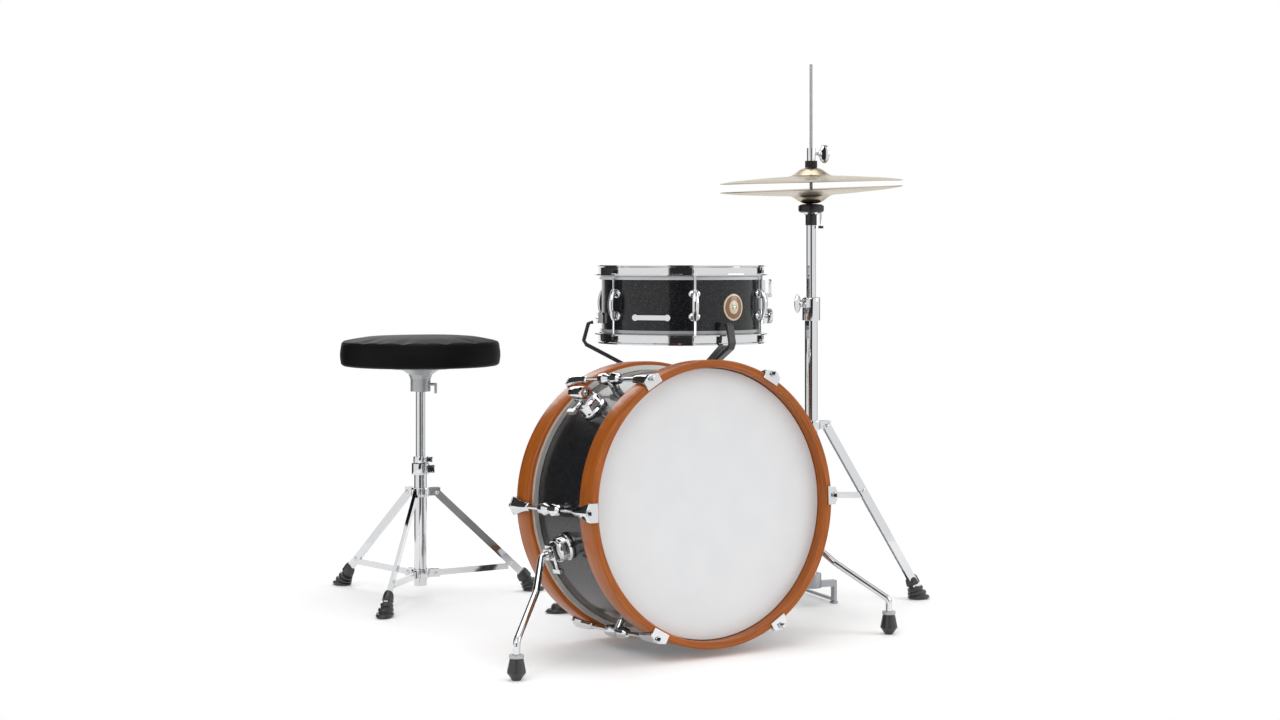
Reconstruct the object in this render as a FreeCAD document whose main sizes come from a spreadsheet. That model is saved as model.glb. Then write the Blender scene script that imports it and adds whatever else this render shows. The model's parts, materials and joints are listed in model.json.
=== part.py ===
import FreeCAD, Part
import Sketcher
import math
import os
from types import SimpleNamespace

# Small acoustic drum kit: bass drum, snare drum on a basket stand, hi-hat and throne.
# Millimetres, +Z up, the bass drum's axis runs back along +Y and the drummer sits at +Y.

Vector = FreeCAD.Vector
Rotation = FreeCAD.Rotation
Placement = FreeCAD.Placement
UP = Vector(0, 0, 1)
ALONG_X = Vector(1, 0, 0)
ALONG_Y = Vector(0, 1, 0)

SIZES = {
    # where each free-standing unit is, measured on the floor
    "bass_x": -141.9, "bass_y": -511.6, "bass_z": 259.0, "bass_pitch": 3.0,
    "snare_x": 188.0, "snare_y": 400.0, "hihat_x": 446.0, "hihat_y": 331.0,
    "throne_x": -165.0, "throne_y": 814.0,
    # bass drum
    "bass_radius": 228.6, "bass_wall": 7.0, "bass_depth": 262.0, "bass_recess": 24.0,
    "hoop_radius": 244.7, "hoop_inner": 231.5, "hoop_width": 44.0, "film": 0.8,
    "rod_circle": 250.0, "rod_radius": 3.0, "claw_width": 32.0, "claw_length": 52.0,
    "spur_angle": 16.0, "spur_back": 128.0, "spur_radius": 6.0, "spur_spread": 380.0,
    "spur_foot_y": 9.0, "bracket_radius": 24.0, "holder_angle": 134.0,
    # snare drum
    "snare_radius": 152.4, "snare_wall": 6.0, "snare_depth": 127.0, "snare_middle": 590.0,
    "rim_radius": 157.5, "rim_flange": 167.5, "rim_height": 19.0, "snare_rod_circle": 162.5,
    "lug_height": 62.0, "snare_turn": 6.0,
    # tubes and cymbals
    "thick_tube": 12.7, "thin_tube": 9.5, "tube_wall": 1.5, "slide_gap": 0.3,
    "pull_rod_radius": 3.0, "cymbal_radius": 178.0, "cymbal_thick": 1.2,
    "seat_radius": 160.0, "seat_low": 461.0, "seat_high": 522.0,
    # tripods
    "leg_height": 15.0, "leg_thick": 7.0, "foot_radius": 15.0, "foot_height": 40.0,
}

doc = FreeCAD.newDocument("DrumKit")
sheet = doc.addObject("Spreadsheet::Sheet", "Dims")
for row, (alias, number) in enumerate(SIZES.items(), start=1):
    sheet.set(f"A{row}", alias)
    sheet.set(f"B{row}", str(number))
    sheet.setAlias(f"B{row}", alias)
doc.recompute()


class Dim:
    """A length and the sheet expression that drives it."""

    def __init__(self, value, text):
        self.value = value
        self.text = text

    def join(self, other, sign, value):
        return Dim(value, f"({self.text} {sign} {dim(other).text})")

    def __add__(self, other):
        return self.join(other, "+", self.value + dim(other).value)

    def __sub__(self, other):
        return self.join(other, "-", self.value - dim(other).value)

    def __mul__(self, other):
        return self.join(other, "*", self.value * dim(other).value)


def dim(length):
    """Any length as a Dim."""
    return length if isinstance(length, Dim) else Dim(float(length), f"{float(length):.4f}")


S = SimpleNamespace(**{alias: Dim(sheet.get(alias), f"Dims.{alias}") for alias in SIZES})
N = SimpleNamespace(**{alias: float(sheet.get(alias)) for alias in SIZES})
KIT = Vector(N.bass_x, N.bass_y, 0)
BASS = Placement(KIT + Vector(0, 0, N.bass_z), Rotation(ALONG_X, -N.bass_pitch))
nodes = []


def polar(radius, degrees, height=0.0):
    """A point at a radius and an angle about a vertical axis."""
    angle = math.radians(degrees)
    return Vector(radius * math.cos(angle), radius * math.sin(angle), height)


def unit_place(x, y):
    """The floor point under a unit's own axis."""
    return Placement(KIT + Vector(x, y, 0), Rotation())


def bind(obj, prop, length):
    """Set a property from a length and tie it to the sheet."""
    length = dim(length)
    setattr(obj, prop, length.value)
    if "Dims." in length.text:
        obj.setExpression(prop, length.text)


def solid(kind, name, place, **lengths):
    """A Part primitive with its sizes bound to the sheet."""
    obj = doc.addObject(f"Part::{kind}", name)
    for prop, length in lengths.items():
        bind(obj, prop, length)
    obj.Placement = place
    return obj


def rod(name, start, direction, radius, length):
    """A cylinder from a point along a direction."""
    place = Placement(start, Rotation(UP, direction))
    return solid("Cylinder", name, place, Radius=radius, Height=length)


def box(name, corner, length, width, height, turn=Rotation()):
    """A box from its low corner."""
    return solid("Box", name, Placement(corner, turn), Length=length, Width=width, Height=height)


def cut(name, base, tool):
    """One object less another."""
    obj = doc.addObject("Part::Cut", name)
    obj.Base = base
    obj.Tool = tool
    return obj


def fuse(name, shapes):
    """Several touching objects as one solid."""
    obj = doc.addObject("Part::MultiFuse", name)
    obj.Shapes = shapes
    return obj


def group(name, shapes):
    """Separate solids that share a node."""
    obj = doc.addObject("Part::Compound", name)
    obj.Links = shapes
    return obj


def tube(name, base, radius, wall, length):
    """An upright open tube on a point."""
    outer = rod(name + "_outer", base, UP, radius, length)
    inner = rod(name + "_bore", base - UP, UP, dim(radius) - wall, dim(length) + 2)
    return cut(name, outer, inner)


def lathe(name, profile, place=Placement()):
    """A body turned about its own Z axis from an outline of radius and height pairs."""
    body = doc.addObject("PartDesign::Body", name)
    sketch = body.newObject("Sketcher::SketchObject", name + "_profile")
    plane = [f for f in body.Origin.OriginFeatures if f.Role == "XZ_Plane"][0]
    sketch.AttachmentSupport = [(plane, "")]
    sketch.MapMode = "FlatFace"
    corners = [(dim(r), dim(z)) for r, z in profile]
    count = len(corners)
    for index in range(count):
        here = corners[index]
        there = corners[(index + 1) % count]
        line = Part.LineSegment(Vector(here[0].value, here[1].value, 0),
                                Vector(there[0].value, there[1].value, 0))
        sketch.addGeometry(line, False)
    for index in range(count):
        sketch.addConstraint(Sketcher.Constraint(
            "Coincident", index, 2, (index + 1) % count, 1))
    for index, (radius, height) in enumerate(corners):
        for kind, length in (("DistanceX", radius), ("DistanceY", height)):
            at = sketch.addConstraint(Sketcher.Constraint(
                kind, -1, 1, index, 1, length.value))
            if "Dims." in length.text:
                sketch.setExpression(f"Constraints[{at}]", length.text)
    turned = body.newObject("PartDesign::Revolution", name + "_turned")
    turned.Profile = sketch
    turned.ReferenceAxis = (sketch, ["V_Axis"])
    turned.Angle = 360
    body.Tip = turned
    body.Placement = place
    return body


def coded(name, shape, place=Placement()):
    """A shape worked out in code, for bent tubes, bowed plates and arrays."""
    obj = doc.addObject("Part::Feature", name)
    obj.Shape = shape
    obj.Placement = place
    return obj


def copies(name, base, places):
    """Equal solids at several placements."""
    doc.recompute()
    shapes = []
    for place in places:
        one = base.Shape.copy()
        one.Placement = place.multiply(one.Placement)
        shapes.append(one)
    return coded(name, Part.makeCompound(shapes))


def node(obj, label, place=None):
    """Name a finished sub-part and put it in place."""
    if place is not None:
        obj.Placement = place.multiply(obj.Placement)
    obj.Label = label
    nodes.append(obj)
    return obj


def strip(name, start, end, height, thick):
    """A straight flat bar on edge between two points."""
    along = end - start
    side = UP.cross(along).normalize()
    rise = along.cross(side).normalize()
    turn = Rotation(along, side, rise, "XYZ")
    corner = start - side * (dim(thick).value / 2) - rise * (dim(height).value / 2)
    return box(name, corner, along.Length, thick, height, turn)


def bent_tube(points, radius, bend):
    """A round bar along straight runs joined by arcs."""
    edges = []
    last = points[0]
    for before, corner, after in zip(points, points[1:], points[2:]):
        back = (before - corner).normalize()
        forth = (after - corner).normalize()
        half = back.getAngle(forth) / 2
        reach = bend / math.tan(half)
        start = corner + back * reach
        end = corner + forth * reach
        inward = (back + forth).normalize()
        middle = corner + inward * (bend / math.sin(half) - bend)
        edges.append(Part.makeLine(last, start))
        edges.append(Part.Arc(start, middle, end).toShape())
        last = end
    edges.append(Part.makeLine(last, points[-1]))
    path = Part.Wire(edges)
    ring = Part.Wire(Part.makeCircle(radius, points[0], points[1] - points[0]))
    return path.makePipe(Part.Face(ring))


def wing_screw(name, start, direction, reach):
    """A screw with a two-eared wing head, its ears upright."""
    shank = rod(name + "_shank", start, direction, 3, reach)
    tip = start + direction * reach
    boss = rod(name + "_boss", tip, direction, 5.5, 7)
    middle = tip + direction * 9
    side = direction.cross(UP).normalize()
    ears = []
    for sign in (-1, 1):
        centre = middle + UP * (sign * 11)
        ears.append(rod(f"{name}_ear{sign + 1}", centre - side * 1.5, side, 9, 3))
    web = rod(name + "_web", middle - UP * 12, UP, 3, 24)
    return fuse(name, [shank, boss, web] + ears)


# ---------------------------------------------------------------- bass drum

# The lathe turns about Z, and this lays a turned piece along the drum's axis.
LAID = Rotation(ALONG_X, -90)


def on_bass(y=0.0):
    """A turned piece's place on the bass drum, y back from the front of the hoop."""
    return BASS.multiply(Placement(Vector(0, y, 0), LAID))


def around(radius, degrees, y):
    """A place on the drum whose Z points outwards and whose Y runs back."""
    turn = Rotation(ALONG_Y, 90 - degrees)
    out = turn.multVec(UP)
    return BASS.multiply(Placement(out * radius + Vector(0, y, 0), turn))


def make_bass_shell():
    shell = lathe("bass_shell", [
        (S.bass_radius - S.bass_wall, S.bass_recess),
        (S.bass_radius, S.bass_recess),
        (S.bass_radius, S.bass_depth - S.bass_recess),
        (S.bass_radius - S.bass_wall, S.bass_depth - S.bass_recess)])
    node(shell, "bass_shell", on_bass())
    for label, low in (("front_hoop", dim(0)), ("rear_hoop", S.bass_depth - S.hoop_width)):
        high = low + S.hoop_width
        hoop = lathe(label, [
            (S.hoop_inner, low + 2), (S.hoop_inner + 2, low), (S.hoop_radius - 2, low),
            (S.hoop_radius, low + 2), (S.hoop_radius, high - 2), (S.hoop_radius - 2, high),
            (S.hoop_inner + 2, high), (S.hoop_inner, high - 2)])
        node(hoop, label, on_bass())


def head_outline(radius, recess, skirt, film, band):
    """A drum head seen from its open side: film, collar and the flesh hoop at its end."""
    wide = dim(radius) + 9
    return [(0, recess - film), (dim(radius) + 1.4, recess - film),
            (dim(radius) + 1.4, skirt), (wide, skirt), (wide, skirt + band),
            (dim(radius) + 0.6, skirt + band), (dim(radius) + 0.6, recess), (0, recess)]


def make_bass_heads():
    outline = head_outline(S.bass_radius, S.bass_recess - 0.1, S.hoop_width + 0.2, S.film, 7.5)
    front = lathe("front_head", outline)
    node(front, "front_head", on_bass())
    rear = lathe("rear_head", outline)
    flipped = Placement(Vector(0, N.bass_depth, 0), Rotation(ALONG_X, 90))
    node(rear, "rear_head", BASS.multiply(flipped))


LUG_ANGLES = [0, 60, 120, 180, 240, 300]
LUG_BARREL = [(0, -34), (5.5, -34), (9, -30), (11, -14), (8, -5), (6.5, 0),
              (8, 5), (11, 14), (9, 30), (5.5, 34), (0, 34)]
LUG_BORE = 3.4


def make_bass_lugs():
    barrel = lathe("lug_barrel", LUG_BARREL, Placement(Vector(), LAID))
    stem = rod("lug_stem", Vector(0, 0, N.bass_radius - N.rod_circle + 0.8), UP, 8, 18)
    body = fuse("lug_body", [barrel, stem])
    bores = [rod(f"lug_bore{side + 1}", Vector(0, 14 * side, 0), Vector(0, side, 0), LUG_BORE, 30)
             for side in (-1, 1)]
    lug = cut("lug", body, fuse("lug_bores", bores))
    middle = N.bass_depth / 2
    places = [around(N.rod_circle, angle, middle) for angle in LUG_ANGLES]
    node(copies("lugs", lug, places), "bass_lugs")


CLAW_TOP = 5.5        # above the rod circle
CLAW_GRIP = 10.2      # how far the lip reaches over the hoop's face


def make_claws():
    """A claw hooks over the hoop and narrows back to the tension rod."""
    width = N.claw_width
    wedge = doc.addObject("Part::Wedge", "claw_wedge")
    low = N.hoop_radius - N.rod_circle + 0.5
    sizes = {"Xmin": -width / 2, "Xmax": width / 2, "Ymin": -0.4, "Ymax": N.claw_length,
             "Zmin": low, "Zmax": CLAW_TOP, "X2min": -7, "X2max": 7, "Z2min": low,
             "Z2max": CLAW_TOP}
    for prop, value in sizes.items():
        setattr(wedge, prop, value)
    lip = box("claw_lip", Vector(-width / 2, -3.4, low - CLAW_GRIP), S.claw_width, 3,
              CLAW_TOP - low + CLAW_GRIP)
    tail = box("claw_tail", Vector(-7, N.hoop_width + 0.6, low - 5), 14, 5, 12)
    body = fuse("claw_body", [wedge, lip, tail])
    hole = rod("claw_hole", Vector(0, -20, 0), ALONG_Y, S.rod_radius + 0.4, 90)
    claw = cut("claw", body, hole)
    places = []
    for angle in LUG_ANGLES:
        front = around(N.rod_circle, angle, 0)
        rear = around(N.rod_circle, angle, N.bass_depth)
        half_turn = Placement(Vector(), Rotation(UP, 180))
        places += [front, rear.multiply(half_turn)]
    node(copies("claws", claw, places), "bass_claws")


def make_bass_rods():
    shank = rod("rod_shank", Vector(0, -4, 0), ALONG_Y, S.rod_radius, 110)
    flange = rod("rod_flange", Vector(0, -5.5, 0), ALONG_Y, 6, 1.8)
    key = box("rod_key", Vector(-3, -12, -3), 6, 7, 6)
    one = fuse("rod_one", [shank, flange, key])
    places = []
    for angle in LUG_ANGLES:
        front = around(N.rod_circle, angle, 0)
        rear = around(N.rod_circle, angle, N.bass_depth)
        places += [front, rear.multiply(Placement(Vector(), Rotation(UP, 180)))]
    node(copies("rods", one, places), "bass_tension_rods")


def spur_angle(side):
    return -N.spur_angle if side > 0 else 180 + N.spur_angle


def make_bracket(name):
    """A round cast bracket on the shell with a clamp block and its wing screw."""
    base = lathe(name + "_base", [
        (0, 0.4), (S.bracket_radius, 0.4), (S.bracket_radius, 6), (S.bracket_radius - 3, 9),
        (S.bracket_radius - 3, 22), (S.bracket_radius - 6, 26), (0, 26)])
    block = box(name + "_block", Vector(-13, -13, 20), 26, 26, 16)
    screw = rod(name + "_screw", Vector(-30, 0, 30), ALONG_X, 3, 20)
    wing = box(name + "_wing", Vector(-37, -12, 26), 7, 24, 8)
    return fuse(name, [base, block, screw, wing])


def make_brackets():
    bracket = make_bracket("spur_bracket")
    places = []
    for side in (-1, 1):
        place = around(N.bass_radius, spur_angle(side), N.spur_back)
        places.append(place.multiply(Placement(Vector(), Rotation(UP, 90 * side + 90))))
    node(copies("brackets", bracket, places), "spur_brackets")
    base = make_bracket("holder_bracket")
    sleeve = rod("holder_sleeve", Vector(0, -22, 42), ALONG_Y, 11, 44)
    holder = fuse("holder", [base, sleeve])
    bore = rod("holder_bore", Vector(0, -40, 42), ALONG_Y, 6.5, 80)
    place = around(N.bass_radius, N.holder_angle, N.spur_back)
    node(copies("holder_cast", cut("holder_cut", holder, bore), [place]), "accessory_bracket")


SPUR_START = 37.0     # above the shell, where the leg leaves its bracket
SPUR_BEND = (308.0, 75.0, 126.0)
SPUR_ANKLE = 62.0     # above the floor, where the leg turns down into its foot
SPUR_FOOT_TOP = 34.0


def spur_pivot(side):
    place = around(N.bass_radius + SPUR_START, spur_angle(side), N.spur_back)
    return place.Base, place.Rotation.multVec(UP)


def make_spurs():
    for side, word in ((-1, "left"), (1, "right")):
        start, out = spur_pivot(side)
        bend = KIT + Vector(SPUR_BEND[0] * side, SPUR_BEND[1], SPUR_BEND[2])
        foot = KIT + Vector(N.spur_spread * side, N.spur_foot_y, 0)
        ankle, end = foot + UP * SPUR_ANKLE, foot + UP * (SPUR_FOOT_TOP - 2)
        bar = bent_tube([start, start + out * 16, bend, ankle, end], N.spur_radius, 14)
        hub = Part.makeCylinder(10, 7, start + out * 0.4, out)
        node(coded("spur_" + word, bar.fuse(hub).removeSplitter()), f"spur_leg_{word}")
        rubber = lathe("spur_rubber_" + word, [
            (0, 0), (7, 0), (9, 3), (15.5, 12), (15, 15.5), (11, SPUR_FOOT_TOP + 1),
            (12, SPUR_FOOT_TOP + 2), (12, SPUR_FOOT_TOP + 7), (S.spur_radius + 0.1, SPUR_FOOT_TOP + 7),
            (S.spur_radius + 0.1, SPUR_FOOT_TOP - 2), (0, SPUR_FOOT_TOP - 2)])
        node(rubber, f"spur_foot_{word}", Placement(foot, Rotation()))


# --------------------------------------------------------------- snare drum

SNARE = unit_place(N.snare_x, N.snare_y)
SNARE_LOW = N.snare_middle - N.snare_depth / 2
SNARE_HIGH = N.snare_middle + N.snare_depth / 2
SNARE_LUGS = [N.snare_turn + 60 * step for step in range(6)]


def on_snare(radius, degrees, height):
    """A place on the snare whose X points outwards."""
    return SNARE.multiply(Placement(polar(radius, degrees, height), Rotation(UP, degrees)))


def make_snare_shell():
    half = S.snare_depth * 0.5
    shell = lathe("snare_shell", [
        (S.snare_radius - S.snare_wall, S.snare_middle - half),
        (S.snare_radius, S.snare_middle - half),
        (S.snare_radius, S.snare_middle + half),
        (S.snare_radius - S.snare_wall, S.snare_middle + half)])
    node(shell, "snare_shell", SNARE)


def make_rims():
    """Triple-flanged steel hoops, turned about the drum's own mid height."""
    top = N.snare_depth / 2 + 10.5
    outline = [
        (S.rim_radius, top - N.rim_height), (S.rim_flange, top - N.rim_height),
        (S.rim_flange, top - N.rim_height + 2), (S.rim_radius + 2, top - N.rim_height + 3),
        (S.rim_radius + 2, top - 4), (S.rim_radius + 4.5, top - 2.5), (S.rim_radius + 4.5, top),
        (S.rim_radius + 2, top), (S.rim_radius, top - 2)]
    middle = Placement(Vector(0, 0, N.snare_middle), Rotation())
    flip = Placement(Vector(0, 0, N.snare_middle), Rotation(ALONG_X, 180))
    node(lathe("rim_top", outline), "snare_top_hoop", SNARE.multiply(middle))
    node(lathe("rim_bottom", outline), "snare_bottom_hoop", SNARE.multiply(flip))
    skin = head_outline(S.snare_radius, S.snare_depth * -0.5 - 0.1, N.snare_depth / -2 + 11, 0.4, 5.5)
    skin[3:5] = [(S.snare_radius + 4.2, skin[3][1]), (S.snare_radius + 4.2, skin[4][1])]
    node(lathe("skin_top", skin), "snare_top_head", SNARE.multiply(flip))
    node(lathe("skin_bottom", skin), "snare_bottom_head", SNARE.multiply(middle))


def make_snare_lugs():
    tall = S.lug_height
    low = N.lug_height / -2
    spine = box("snare_lug_spine", Vector(7, -5.5, low), 7, 11, tall)
    nose = lathe("snare_lug_nose", [
        (0, low), (4.5, low), (8.5, low * 0.45), (9.5, 0), (8.5, low * -0.45), (4.5, -low), (0, -low)],
        Placement(Vector(N.snare_rod_circle - N.snare_radius, 0, 0), Rotation()))
    feet = [box(f"snare_lug_foot{side + 1}", Vector(0.4, -8, 20 * side - 7), 9, 16, 14)
            for side in (-1, 1)]
    body = fuse("snare_lug_body", [spine, nose] + feet)
    bore = rod("snare_lug_bore", Vector(N.snare_rod_circle - N.snare_radius, 0, low - 1), UP, 2.9,
               tall + 2)
    lug = cut("snare_lug", body, bore)
    places = [on_snare(N.snare_radius, angle, N.snare_middle) for angle in SNARE_LUGS]
    node(copies("snare_lugs", lug, places), "snare_lugs")


def make_snare_rods():
    reach = N.snare_depth / 2 - 5
    shank = rod("snare_rod_shank", Vector(0, 0, 12), UP, 2.4, reach - 12)
    collar = rod("snare_rod_collar", Vector(0, 0, reach - 3), UP, 4.6, 3)
    key = box("snare_rod_key", Vector(-2.8, -2.8, reach), 5.6, 5.6, 7)
    one = fuse("snare_rod", [shank, collar, key])
    places = []
    for angle in SNARE_LUGS:
        up = on_snare(N.snare_rod_circle, angle, N.snare_middle)
        places += [up, up.multiply(Placement(Vector(), Rotation(ALONG_X, 180)))]
    node(copies("snare_rods", one, places), "snare_tension_rods")


STRAINER_ANGLE = 336.0
BUTT_ANGLE = 156.0
BADGE_ANGLE = 276.5
BADGE_WIDTH = 46.0
BADGE_HEIGHT = 50.0
PLATE_ANGLE = 216.0
KNOB_HEIGHT = -24.0
LEVER_HEIGHT = 16.0
LEVER_OUT = 20.0


def make_badge():
    """An oval plate bent to the shell, with the drum's vent through its middle."""
    axis = Vector(-N.snare_radius, 0, -BADGE_HEIGHT)
    bent = Part.makeCylinder(N.snare_radius + 1.9, 2 * BADGE_HEIGHT, axis).cut(
        Part.makeCylinder(N.snare_radius + 0.3, 2 * BADGE_HEIGHT, axis))
    ellipse = Part.Ellipse(Vector(), BADGE_HEIGHT / 2, BADGE_WIDTH / 2)
    oval = Part.Face(Part.Wire(ellipse.toShape())).extrude(UP * 12)
    oval.Placement = Placement(Vector(-6, 0, 0), Rotation(ALONG_Y, 90))
    vent = Part.makeCylinder(4.5, 3.2, Vector(0.5, 0, 0), ALONG_X)
    badge = coded("badge", bent.common(oval).fuse(vent))
    node(badge, "snare_badge", on_snare(N.snare_radius, BADGE_ANGLE, N.snare_middle - 4))


def make_snare_fittings():
    place = on_snare(N.snare_radius, STRAINER_ANGLE, N.snare_middle)
    plate = box("strainer_plate", Vector(0.5, -12, -38), 9, 24, 83)
    cheek = box("strainer_cheek", Vector(9, -8, LEVER_HEIGHT - 22), 6.6, 16, 26)
    node(fuse("strainer", [plate, cheek]), "strainer_body", place)
    barrel = rod("lever_barrel", Vector(LEVER_OUT, -7, LEVER_HEIGHT), ALONG_Y, 4, 14)
    arm = box("lever_arm", Vector(LEVER_OUT - 1.5, -6, LEVER_HEIGHT), 4, 12, 28)
    pad = rod("lever_pad", Vector(LEVER_OUT - 1.5, 0, LEVER_HEIGHT + 24), ALONG_X, 7.5, 4)
    node(fuse("lever", [barrel, arm, pad]), "strainer_lever", place)
    knob = lathe("knob", [(0, 10), (4, 10), (4, 14), (14, 14), (15, 16), (15, 22), (13, 24), (0, 24)],
                 Placement(Vector(0, 0, KNOB_HEIGHT), Rotation(ALONG_Y, 90)))
    node(knob, "strainer_knob", place)
    butt = box("butt_block", Vector(0.5, -15, -36), 9, 30, 20)
    screws = [rod(f"butt_screw{side + 1}", Vector(9, 9 * side, -26), ALONG_X, 3, 3)
              for side in (-1, 1)]
    node(fuse("butt", [butt] + screws), "butt_plate", on_snare(N.snare_radius, BUTT_ANGLE, N.snare_middle))
    low = SNARE_LOW - 2.2
    wires = [box(f"wire{step}", Vector(-132, step * 3.2 - 0.7, low - 1.6), 264, 1.4, 1.4)
             for step in range(-6, 7)]
    ends = [box(f"wire_end{side + 1}", Vector(side * 134 - 3, -22, low - 1.8), 6, 44, 1.8)
            for side in (-1, 1)]
    turn = Placement(Vector(), Rotation(UP, STRAINER_ANGLE))
    node(fuse("wires", wires + ends), "snare_wires", SNARE.multiply(turn))
    make_badge()
    bar = box("plate_bar", Vector(-2.6, -32, -4.5), 5.4, 64, 9)
    ends = [rod(f"plate_end{side + 1}", Vector(-2.6, 32 * side, 0), ALONG_X, 6, 5.4)
            for side in (-1, 1)]
    hollow = rod("plate_hollow", Vector(-N.snare_radius, 0, -30), UP, S.snare_radius + 0.3, 60)
    strap = cut("plate", fuse("plate_body", [bar] + ends), hollow)
    node(strap, "name_plate", on_snare(N.snare_radius, PLATE_ANGLE, N.snare_middle - 23))


# -------------------------------------------------------------- stands

def bar_outline(points, thick):
    """A flat bar that follows points in the radial plane, as a closed polygon."""
    near = []
    far = []
    for index, (r, z) in enumerate(points):
        before = points[max(index - 1, 0)]
        after = points[min(index + 1, len(points) - 1)]
        length = math.hypot(after[0] - before[0], after[1] - before[1])
        normal = ((before[1] - after[1]) / length, (after[0] - before[0]) / length)
        near.append((r + normal[0] * thick / 2, z + normal[1] * thick / 2))
        far.append((r - normal[0] * thick / 2, z - normal[1] * thick / 2))
    return near + far[::-1]


def flat_bar(points, thick, width):
    ring = [Vector(r, -width / 2, z) for r, z in bar_outline(points, thick)]
    face = Part.Face(Part.makePolygon(ring + ring[:1]))
    return face.extrude(Vector(0, width, 0))


BASKET_ANGLES = [27, 147, 267]
ARM_POINTS = [(22, 425), (104, 471)]
GRIP_POINTS = [(104.2, 471.1), (182, 512), (187, 520), (178, 553), (169, 555)]
TILT_HEIGHT = 396.3


def make_basket():
    arm = coded("basket_arm", flat_bar(ARM_POINTS, 4, 11))
    grip = coded("basket_grip", flat_bar(GRIP_POINTS, 7, 14))
    places = [SNARE.multiply(Placement(Vector(), Rotation(UP, angle))) for angle in BASKET_ANGLES]
    node(copies("arms", arm, places), "basket_arms")
    node(copies("grips", grip, places), "basket_grips")
    hub = lathe("hub", [(0, 412), (9, 412), (19, 417), (19, 433), (12, 440), (0, 440)])
    neck = box("hub_neck", Vector(-6, -9, TILT_HEIGHT), 12, 18, 18)
    knuckle = rod("hub_knuckle", Vector(-6, 0, TILT_HEIGHT), ALONG_X, 9, 12)
    node(fuse("hub_cast", [hub, neck, knuckle]), "basket_hub", SNARE)


def make_riser(name, place, low, high, radius):
    bar = tube(name, Vector(0, 0, low), radius, S.tube_wall, high - low)
    return node(bar, name, place)


EAR_OUT = 9.8         # from the post's surface to the middle of a clamp's ears
EAR_DOWN = 10.5       # from the clamp's top to its screw


def make_collar(name, place, height, turn, drop=22, memory=True, bolted=False):
    """A height clamp round the top of a post, with its memory lock above."""
    bore = S.thick_tube + 0.4
    outer = lathe(name + "_ring", [
        (bore, height - drop), (S.thick_tube + 5, height - drop),
        (S.thick_tube + 5, height), (S.thick_tube + 3.5, height + 1.6),
        (S.thin_tube + 0.5, height + 1.6), (S.thin_tube + 0.5, height + 0.2),
        (bore, height + 0.2)])
    ears = box(name + "_ears", Vector(N.thick_tube + 2, -8, height - 18), 14, 16, 15)
    body = fuse(name + "_body", [outer, ears])
    if bolted:
        hole = rod(name + "_hole", Vector(N.thick_tube + EAR_OUT, -9, height - EAR_DOWN), ALONG_Y, 3.3, 18)
        body = cut(name + "_bored", body, hole)
    turned = place.multiply(Placement(Vector(), Rotation(UP, turn)))
    if not memory:
        return node(body, name, turned)
    lock = lathe(name + "_memory", [
        (S.thin_tube + 0.5, height + 2), (S.thin_tube + 5, height + 2),
        (S.thin_tube + 5, height + 14), (S.thin_tube + 0.5, height + 14)])
    lock_ears = box(name + "_lock_ears", Vector(N.thin_tube + 2, -6, height + 3), 13, 12, 10)
    head = rod(name + "_lock_head", Vector(N.thin_tube + 9, -10, height + 8), ALONG_Y, 4, 5)
    lock_body = fuse(name + "_lock", [lock, lock_ears, head])
    return node(group(name, [body, lock_body]), name, turned)


def make_screw(name, place, height, turn):
    start = Vector(N.thick_tube + 16.4, 0, height - EAR_DOWN)
    screw = wing_screw(name, start, ALONG_X, 7)
    return node(screw, name, place.multiply(Placement(Vector(), Rotation(UP, turn))))


def make_lock_bolt(name, place, height, turn):
    """A round-headed key bolt across a clamp's ears."""
    across = Vector(0, -1, 0)
    start = Vector(N.thick_tube + EAR_OUT, 12.5, height - EAR_DOWN)
    shank = rod(name + "_shank", start, across, 3, 21)
    nut = rod(name + "_nut", start, across, 5.5, 4)
    head = rod(name + "_head", start + across * 20.9, across, 6.5, 5)
    key = box(name + "_key", start + across * 30.9 + Vector(-3, 0, -3), 6, 6, 6)
    bolt = fuse(name, [shank, nut, head, key])
    return node(bolt, name, place.multiply(Placement(Vector(), Rotation(UP, turn))))


TWIN_OUT = 7.4        # from a twin-strip leg's middle to each strip's


def make_tripod(name, place, angles, reach, top, low, brace_at=0.84, twin=False):
    """Two collars, folding legs of one or two strips and their braces, with rubber feet."""
    pieces = []
    post = N.thick_tube + 0.4
    for word, height in (("top", top), ("low", low)):
        ring = lathe(f"{name}_{word}_ring", [
            (post, height - 9), (post + 5, height - 9), (post + 5, height + 9), (post, height + 9)])
        pieces.append(ring)
        for angle in angles:
            turn = Rotation(UP, angle)
            for side in (-1, 1):
                middle = Vector(post + 3, side * (N.leg_thick / 2 + 1.4) - 1, height - 8)
                pieces.append(box(f"{name}_{word}_ear{angle}{side + 1}", turn.multVec(middle),
                                  23, 2, 16, turn))
    collars = fuse(name + "_collars", pieces)
    bars = []
    for angle in angles:
        start = polar(post + 17, angle, top)
        end = polar(reach - 10, angle, 24)
        if twin:
            for side in (-1, 1):
                out = polar(TWIN_OUT * side, angle + 90)
                bars.append(strip(f"{name}_leg{angle}_{side + 1}", start + out, end + out, S.leg_height, 2))
        else:
            bars.append(strip(f"{name}_leg{angle}", start, end, S.leg_height, S.leg_thick))
        meet = start + (end - start) * brace_at
        reach_low = polar(post + 17, angle, low)
        gap = (meet - reach_low).normalize() * (N.leg_height * (0.0 if twin else 0.85))
        bars.append(strip(f"{name}_brace{angle}", reach_low, meet - gap, 12, S.leg_thick - 1))
    node(group(name + "_bars", [collars] + bars), name + "_tripod", place)
    boot = lathe(name + "_boot", [
        (0, 0), (S.foot_radius, 0), (S.foot_radius + 1, 3), (S.foot_radius - 2, 16),
        (S.foot_radius - 5, S.foot_height), (0, S.foot_height)])
    spots = [place.multiply(Placement(polar(reach - 8, angle), Rotation())) for angle in angles]
    node(copies(name + "_boots", boot, spots), name + "_feet")


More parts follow.
